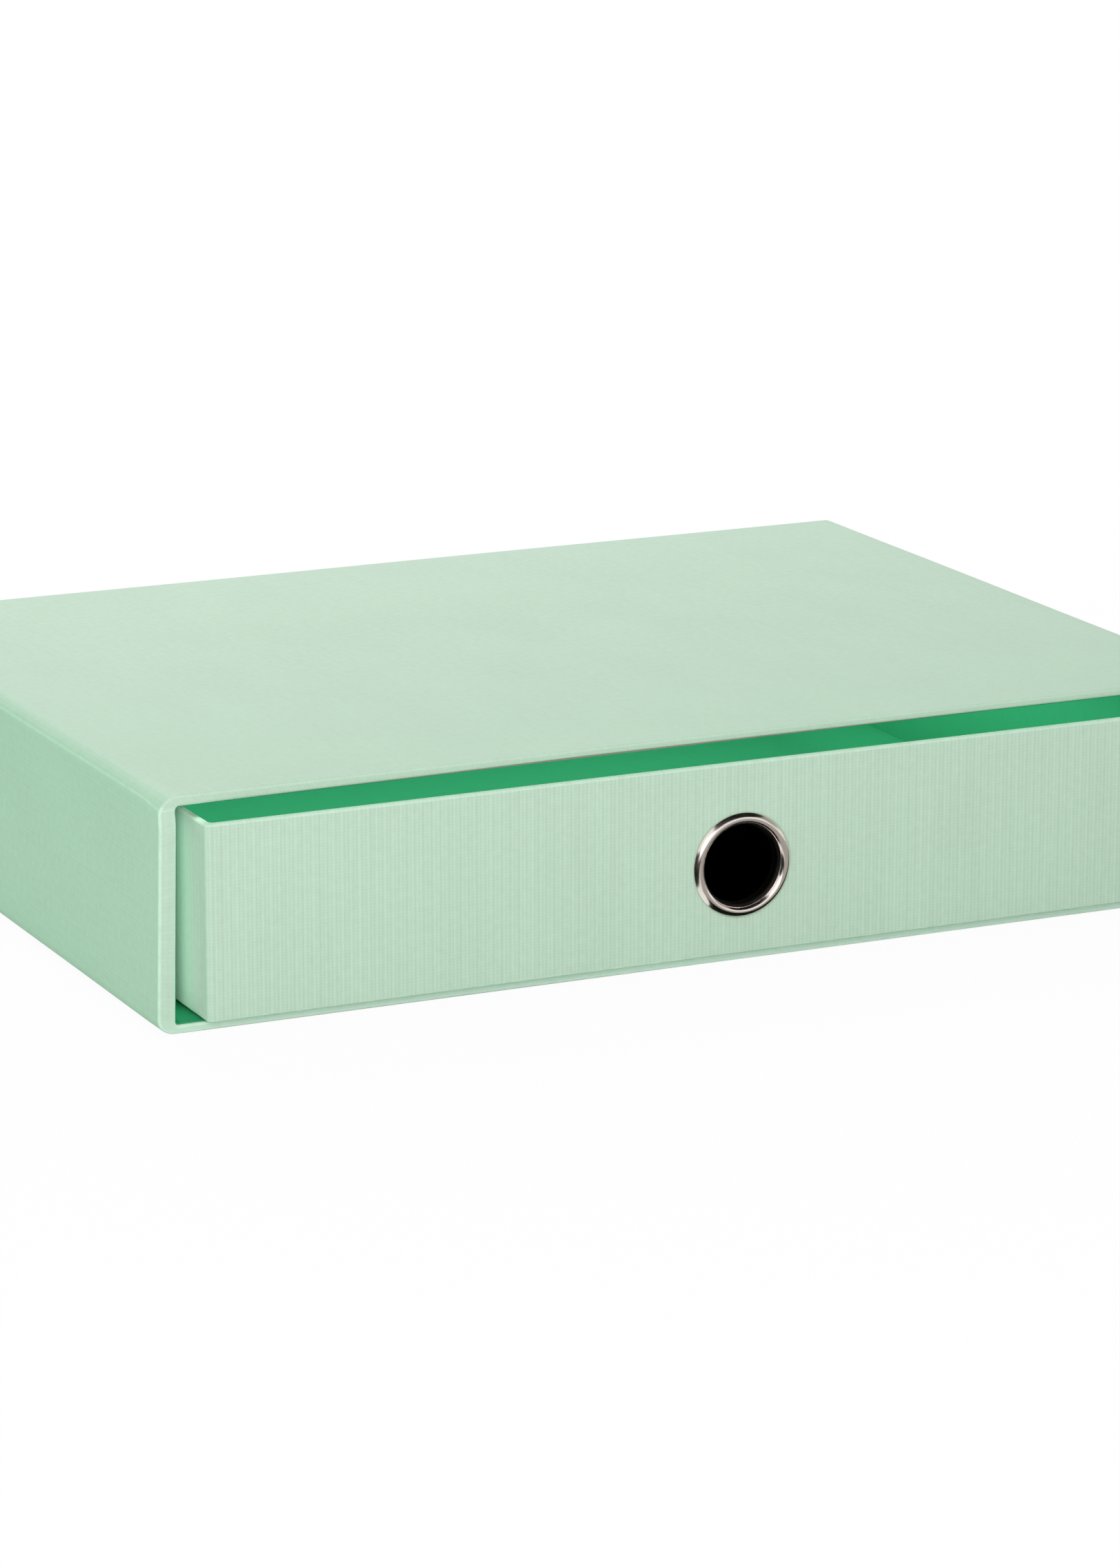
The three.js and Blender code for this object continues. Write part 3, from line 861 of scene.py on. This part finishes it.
class FILEBOX_OT_sleeve_boards(bpy.types.Operator):
    """The sleeve's folded board and its left liner board, which lean with the side"""

    bl_idname = "filebox.sleeve_boards"
    bl_label = "Sleeve boards"

    def execute(self, context):
        sizes = context.scene.filebox_papers
        board = grey_board("sleeve grey board")
        low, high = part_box("sleeve_wrap_board")
        thick = Vector((sizes.board, 0, sizes.board))
        radius = sizes.sleeve_corner - sizes.thickness - sizes.glue
        outer = folded_line(low, high, radius, sizes)
        inner = folded_line(low + thick, high - thick, radius - sizes.board, sizes)
        wrap = make_piece("sleeve_folded_board", *strip(outer, inner, low.y, high.y, sizes))
        finish_piece(wrap, "sleeve", board, "sleeve_wrap_board")
        low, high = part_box("sleeve_left_liner_board")
        z = np.linspace(low.z, high.z, 9)
        left, right = (np.stack([np.full(len(z), x), z], 1) for x in (low.x, high.x))
        liner = make_piece("sleeve_left_liner", *strip(left, right, low.y, high.y, sizes))
        finish_piece(liner, "sleeve", board, "sleeve_left_liner_board")
        return {"FINISHED"}


def ring_hole():
    """The hole in the drawer's front papers: its centre, its radius, and how far the
    patch of the grid reaches that gives way to it."""
    low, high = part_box("finger_ring")
    middle = (low + high) / 2
    sizes = bpy.context.scene.filebox_ring
    radius = sizes.bore + sizes.metal + HOLE_PLAY
    return np.array([middle.x, low.y, middle.z]), radius, HOLE_REACH * radius


def hole_marks(foot):
    """The heights over the drawer's foot where the hole's patch begins and ends."""
    centre, _, reach = ring_hole()
    return centre[2] - foot - reach, centre[2] - foot + reach


def drawer_paper(name, run, to_place):
    """A paper round the drawer's walls: its run carried round them, bored for the ring,
    and left to wander a little."""
    ring = Ring(across=126, up=90, corner=8, start=1)
    points, quads, uv, worn_and_lit = bore(*skin(run, ring, 0.0, to_place), ring, *ring_hole())
    points = wander(points, bpy.context.scene.filebox_papers.wave * DRAWER_WANDER, 9)
    return make_piece(name, points, quads, uv, worn_and_lit)


class FILEBOX_OT_drawer_cover(bpy.types.Operator):
    """The drawer's cover paper, with the hole for the finger ring"""

    bl_idname = "filebox.drawer_cover"
    bl_label = "Drawer cover"

    def execute(self, context):
        sizes = context.scene.filebox_papers
        half_x, half_y, deep, foot, to_place = drawer_frame()
        outer = (half_x, half_y, sizes.drawer_corner)
        mouth = mouth_outline("drawer_wall_lining", sizes)
        run = cover_run(outer, mouth, sizes, deep, hole_marks(foot), HOLE_SPACING)
        piece = drawer_paper("drawer_cover_paper", run, to_place)
        linen = linen_paper("drawer linen")
        finish_piece(piece, "drawer", linen, "drawer_cover")
        return {"FINISHED"}


class FILEBOX_OT_drawer_lining(bpy.types.Operator):
    """The lining round the drawer's inner walls"""

    bl_idname = "filebox.drawer_lining"
    bl_label = "Drawer lining"

    def execute(self, context):
        sizes = context.scene.filebox_papers
        _, _, deep, foot, to_place = drawer_frame()
        faces = board_faces("drawer_wall_lining", sizes)
        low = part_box("drawer_wall_lining")[0].z - foot
        run = lining_run(faces, sizes, low, deep, hole_marks(foot), HOLE_SPACING)
        piece = drawer_paper("drawer_lining_paper", run, to_place)
        lining = lining_paper("drawer lining")
        finish_piece(piece, "drawer", lining, "drawer_wall_lining")
        return {"FINISHED"}


def curve(start, pull, end, steps):
    """A quadratic curve: the three points weighted by (1-t)(1-t), 2t(1-t) and tt."""
    t = np.linspace(0, 1, steps)[:, None]
    start, pull, end = (np.array(point, float) for point in (start, pull, end))
    return start * (1 - t) ** 2 + pull * 2 * t * (1 - t) + end * t * t


def ring_profile(sizes, seat):
    """Radius and depth behind the paper once round the ring's metal: a half ellipse for
    the rear lip, the barrel's bore, a quarter ellipse up to the crest, a curve down to
    the rim, and the flange's underside and the barrel's outside."""
    rim, crest = sizes.bore + sizes.flange, sizes.bore + sizes.crest
    barrel, foot = sizes.bore + sizes.metal, -RING_PLAY
    half = sizes.lip / 2
    angle = np.linspace(0, np.pi, 20)
    lip_radius = sizes.bore + half + half * np.cos(angle)
    lip = np.stack([lip_radius, seat + sizes.lip_rise * np.sin(angle)], 1)
    angle = np.linspace(0, QUARTER, 16)
    throat_radius = crest - (sizes.crest - sizes.flare) * np.cos(angle)
    throat_depth = sizes.throat - (sizes.rise + sizes.throat) * np.sin(angle)
    throat = np.stack([throat_radius, throat_depth], 1)
    pull = ((crest + rim) / 2, -sizes.rise)
    slope = curve((crest, -sizes.rise), pull, (rim, -sizes.edge), 18)
    under = np.array([(rim, -sizes.edge / 2), (rim - sizes.edge / 2, foot), (barrel, foot)])
    wall = np.linspace(lip[-1], throat[0], 12)[1:-1]
    outside = np.linspace((barrel, foot), (barrel, seat), 6)[1:]
    return np.concatenate([lip, wall, throat, slope[1:], under, outside])


class FILEBOX_OT_finger_ring(bpy.types.Operator):
    """The finger ring: flange, barrel and rolled rear lip, turned round its bore"""

    bl_idname = "filebox.finger_ring"
    bl_label = "Finger ring"

    def execute(self, context):
        sizes = context.scene.filebox_ring
        low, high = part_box("finger_ring")
        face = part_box("drawer_cover")[0].y
        profile = ring_profile(sizes, high.y - sizes.lip_rise - face)
        turn = np.linspace(0, 2 * np.pi, sizes.around, endpoint=False)[None, :]
        radius, depth = profile[:, :1], profile[:, 1:]
        x = (low.x + high.x) / 2 + radius * np.cos(turn)
        z = (low.z + high.z) / 2 + radius * np.sin(turn)
        y = np.broadcast_to(face + depth, x.shape)
        points = np.stack([x, y, z], -1).reshape(-1, 3)
        faces = grid_faces(len(profile), sizes.around)
        piece = make_piece("finger_ring_metal", points, faces, sharp=50.0)
        finish_piece(piece, "drawer", nickel("ring nickel"), "finger_ring")
        return {"FINISHED"}


class FILEBOX_OT_plain_pieces(bpy.types.Operator):
    """Finishes for the boards, the flat sheets and the washer, which keep their shape"""

    bl_idname = "filebox.plain_pieces"
    bl_label = "Boards, sheets and washer"

    def execute(self, context):
        board = grey_board("grey board")
        linen = linen_paper("sheet linen", "object", 0.3)
        lining = lining_paper("sheet lining", "object")
        chosen = {
            "sleeve_back_sheet": linen,
            "sleeve_underside_sheet": linen,
            "drawer_underside_sheet": linen,
            "sleeve_back_lining": lining,
            "drawer_floor_lining": lining,
            "finger_ring_washer": nickel("washer nickel"),
        }
        for name, node in NODES.items():
            if node.hide_render:
                continue
            material = chosen.get(name, board)
            if not node.material_slots:
                node.data.materials.append(material)
            for slot in node.material_slots:
                slot.material = material
        return {"FINISHED"}


# The stage


def softbox(name, place, way, size, power, tint=WHITE, spread=180.0):
    """A rectangular lamp that shines the given way and that the camera doesn't see."""
    light = bpy.data.lights.new(name, "AREA")
    light.shape = "RECTANGLE"
    light.size, light.size_y = size
    light.energy = power
    light.color = tint
    light.spread = np.radians(spread)
    lamp = bpy.data.objects.new(name, light)
    lamp.visible_camera = False
    lamp.location = place
    lamp.rotation_euler = Vector(way).to_track_quat("-Z", "Y").to_euler()
    bpy.context.scene.collection.objects.link(lamp)


def flat_panel(name, place, size, material, unseen=()):
    """A flat rectangle on the stage: its middle plus a share of each of its two edges.
    The kinds of rays named in unseen pass through it."""
    x, y, z = size
    across, up = ((x, 0, 0), (0, y, z)) if x else ((0, y, 0), (0, 0, z))
    u, v = np.meshgrid([-0.5, 0.5], [-0.5, 0.5])
    points = np.array(place) + np.outer(u, across) + np.outer(v, up)
    mesh = bpy.data.meshes.new(name)
    mesh.from_pydata(points.tolist(), [], [(0, 1, 3, 2)])
    mesh.materials.append(material)
    panel = bpy.data.objects.new(name, mesh)
    for rays in unseen:
        setattr(panel, "visible_" + rays, False)
    bpy.context.scene.collection.objects.link(panel)


def shown_rays(nodes):
    """One for rays from the camera, from gloss and through glass, else nothing."""
    kinds = ("Is Camera Ray", "Is Glossy Ray", "Is Transmission Ray")
    seen, gloss, through = (nodes.add("LightPath", out=kind) for kind in kinds)
    return nodes.math("MAXIMUM", nodes.math("MAXIMUM", seen, gloss), through)


def lay_floor(stage):
    """A matt pale floor that shows as white, but for a little of the box's shadow."""
    nodes = Nodes(bpy.data.materials.new("pale floor"))
    position = nodes.add("TexCoord", out="Object")
    speck = nodes.spread(nodes.noise(position, 60.0, 3.0), 0.3, 0.7, 0.98, 1.0)
    matt = nodes.diffuse(nodes.brighten(stage.floor, speck))
    away = nodes.add("VectorMath", {0: position}, "Value", operation="LENGTH")
    shade = nodes.spread(away, 0.20, 0.55, stage.floor_shadow, 0.0)
    seen = nodes.math("MULTIPLY", shown_rays(nodes), nodes.math("SUBTRACT", 1.0, shade))
    both = nodes.add("MixShader", {0: seen, 1: matt, 2: nodes.glow(WHITE, 1.0)})
    flat_panel("floor", (0, 0, -FLOOR_GAP), (24, 24, 0), nodes.close(both))


def light_world(scene, stage):
    """Soft tinted light from all round, which shows as plain white."""
    world = bpy.data.worlds.new("studio")
    world.cycles.sampling_method = "NONE"
    scene.world = world
    nodes = Nodes(world)
    lit = nodes.glow(WORLD_TINT, stage.world, "Background")
    shown = nodes.glow(WHITE, 1.0, "Background")
    both = nodes.add("MixShader", {0: shown_rays(nodes), 1: lit, 2: shown})
    nodes.close(both, "OutputWorld")


def light_outside(stage):
    """The two lamps of the studio, which face the middle of the box."""
    middle = Vector((0, 0, 0.03))
    key, above = Vector((-0.50, -1.05, 0.42)), Vector((0.0, 0.75, 0.80))
    softbox("key lamp", key, middle - key, (0.5, 0.35), stage.key, KEY_TINT)
    softbox("lamp above", above, middle - above, (0.6, 0.4), stage.above, ABOVE_TINT)


def light_inside(stage):
    """Small lamps in the sleeve's mouth and gaps and at its foot, for the light that
    pale papers throw there. Their places are measured from the lining and the drawer."""
    low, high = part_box("sleeve_bay_lining")
    drawer_low, drawer_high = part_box("drawer_cover")
    bay = (0, 0.0125, high.z - 1.5 * MM)
    softbox("bay lamp", bay, DOWN, (0.30, 0.205), stage.bay)
    right = (high.x - 40 * MM, 0.012, high.z - 3.5 * MM)
    softbox("right bay lamp", right, (1, 0, -1), (0.21, 0.003), stage.right_bay, spread=90.0)
    mouth = (0, low.y + 1.2 * MM, high.z - 2.1 * MM)
    softbox("mouth lamp", mouth, (0, -0.5, -0.85), (0.31, 0.004), stage.mouth, GAP_TINT)
    foot = (0, low.y - 4.8 * MM, 1.3 * MM)
    softbox("foot lamp", foot, (0, 1, 0), (0.325, 0.002), stage.foot, FOOT_TINT)
    wall = (drawer_low.x + 1.2 * MM, low.y + 8.5 * MM, high.z - 0.8 * MM)
    softbox("lamp over the left wall", wall, DOWN, (0.004, 0.014), stage.left_wall, GAP_TINT)
    gap = Vector((low.x + MM, low.y + 2.6 * MM, (drawer_low.z + drawer_high.z) / 2 + MM))
    softbox("gap lamp", gap, (1, 0, 0), (0.007, 0.057), stage.left_gap, FRONT_GAP_TINT)
    deep = gap + Vector((0, 7.3 * MM, -2 * MM))
    softbox("deep gap lamp", deep, (1, 0, 0), (0.0074, 0.057), stage.left_deep, DEEP_TINT)


def plain_card(name, colour, strength=None):
    """A card's material: glowing where a strength is given, else matt."""
    nodes = Nodes(bpy.data.materials.new(name))
    if strength is None:
        return nodes.close(nodes.diffuse(rgba(colour)))
    return nodes.close(nodes.glow(colour, strength))


def stand_cards(stage):
    """The tinted card that lights the left side, cards for the ring's reflections, and
    flags that darken the drawer behind the ring's hole."""
    tinted = plain_card("tinted card", SIDE_TINT, stage.side)
    black = plain_card("dark card", (0.01, 0.01, 0.01))
    grey = plain_card("grey card", (0.42, 0.40, 0.39), 1.0)
    lit, gloss = ("camera", "glossy", "shadow"), ("camera", "diffuse", "shadow")
    shade = ("camera",)
    for name, place, size, material, unseen in (
        ("tinted card", (-0.42, 0.05, 0.45), (0, 1.8, 0.90), tinted, lit),
        ("card above", (0.58, -0.3, 1.2), (2.26, 3.4, 0), black, gloss),
        ("card at the left", (-3.0, 0, 0.40), (0, 6.0, 0.80), black, gloss),
        ("card on the floor", (0.98, -1.65, 0.0005), (2.0, 3.0, 0), grey, gloss),
        ("dark card on the floor", (-1.035, -1.617, 0.0005), (2.0, 3.0, 0), black, gloss),
        ("dark card at the foot", (0.139, -0.1335, 0.0007), (0.3, 0.033, 0), black, gloss),
        ("card at the right", (2.4, 0, 1.5), (0, 4.0, 1.9), grey, gloss),
        ("flag in the drawer", (0.0044, -0.0445, 0.0067), (0.144, 0.084, 0), black, shade),
        ("flag behind the hole", (0.006, -0.1155, 0.030), (0.05, 0, 0.044), black, gloss),
    ):
        flat_panel(name, place, size, material, unseen)


def place_camera(scene):
    """The camera of the photograph. Its view turns right by the yaw and down by the
    pitch, then rolls; its matrix's columns are its right, up, back and place."""
    yaw, pitch, roll = np.radians([CAMERA_YAW, CAMERA_PITCH, CAMERA_ROLL])
    ahead, aside = np.cos(yaw) * np.cos(pitch), np.sin(yaw) * np.cos(pitch)
    forward = np.array([aside, ahead, -np.sin(pitch)])
    level = np.array([np.cos(yaw), -np.sin(yaw), 0.0])
    above = np.cross(level, forward)
    right = np.cos(roll) * level + np.sin(roll) * above
    up = -np.sin(roll) * level + np.cos(roll) * above
    turn = np.eye(4)
    turn[:3] = np.stack([right, up, -forward, CAMERA_PLACE], 1)
    camera = bpy.data.cameras.new("photo camera")
    camera.sensor_fit = "AUTO"
    camera.sensor_width = SENSOR
    camera.lens = FOCAL_PIXELS * SENSOR / IMAGE_LONG_SIDE
    camera.clip_start, camera.clip_end = 0.05, 100.0
    viewer = bpy.data.objects.new("photo camera", camera)
    viewer.matrix_world = Matrix(turn.tolist())
    scene.collection.objects.link(viewer)
    scene.camera = viewer


class FILEBOX_OT_stage(bpy.types.Operator):
    """A pale floor, soft light from all round, and the camera of the photograph"""

    bl_idname = "filebox.stage"
    bl_label = "Stage"

    def execute(self, context):
        scene = context.scene
        stage = scene.filebox_stage
        scene.view_settings.view_transform = "Standard"
        lay_floor(stage)
        light_world(scene, stage)
        light_outside(stage)
        light_inside(stage)
        stand_cards(stage)
        place_camera(scene)
        return {"FINISHED"}


OPERATORS = (
    FILEBOX_OT_sleeve_boards,
    FILEBOX_OT_sleeve_cover,
    FILEBOX_OT_sleeve_lining,
    FILEBOX_OT_drawer_cover,
    FILEBOX_OT_drawer_lining,
    FILEBOX_OT_finger_ring,
    FILEBOX_OT_plain_pieces,
    FILEBOX_OT_stage,
)


class FILEBOX_PT_panel(bpy.types.Panel):
    """The file box's sizes, finishes and pieces"""

    bl_idname = "FILEBOX_PT_panel"
    bl_label = "File Box"
    bl_space_type = "VIEW_3D"
    bl_region_type = "UI"
    bl_category = "File Box"

    def draw(self, context):
        layout = self.layout
        for group, kind in GROUPS.items():
            box = layout.box()
            for name in kind.__annotations__:
                box.prop(getattr(context.scene, group), name)
        for operator in OPERATORS:
            layout.operator(operator.bl_idname)


GROUPS = {
    "filebox_papers": FILEBOX_PG_papers,
    "filebox_ring": FILEBOX_PG_ring,
    "filebox_finishes": FILEBOX_PG_finishes,
    "filebox_stage": FILEBOX_PG_stage,
}


def register():
    for item in (*GROUPS.values(), *OPERATORS, FILEBOX_PT_panel):
        bpy.utils.register_class(item)
    for name, group in GROUPS.items():
        setattr(bpy.types.Scene, name, PointerProperty(type=group))


def unregister():
    for name in GROUPS:
        delattr(bpy.types.Scene, name)
    for item in (FILEBOX_PT_panel, *reversed(OPERATORS), *GROUPS.values()):
        bpy.utils.unregister_class(item)


def main():
    register()
    bpy.ops.filebox.sleeve_boards()
    bpy.ops.filebox.sleeve_cover()
    bpy.ops.filebox.sleeve_lining()
    bpy.ops.filebox.drawer_cover()
    bpy.ops.filebox.drawer_lining()
    bpy.ops.filebox.finger_ring()
    bpy.ops.filebox.plain_pieces()
    bpy.ops.filebox.stage()


if __name__ == "__main__":
    main()
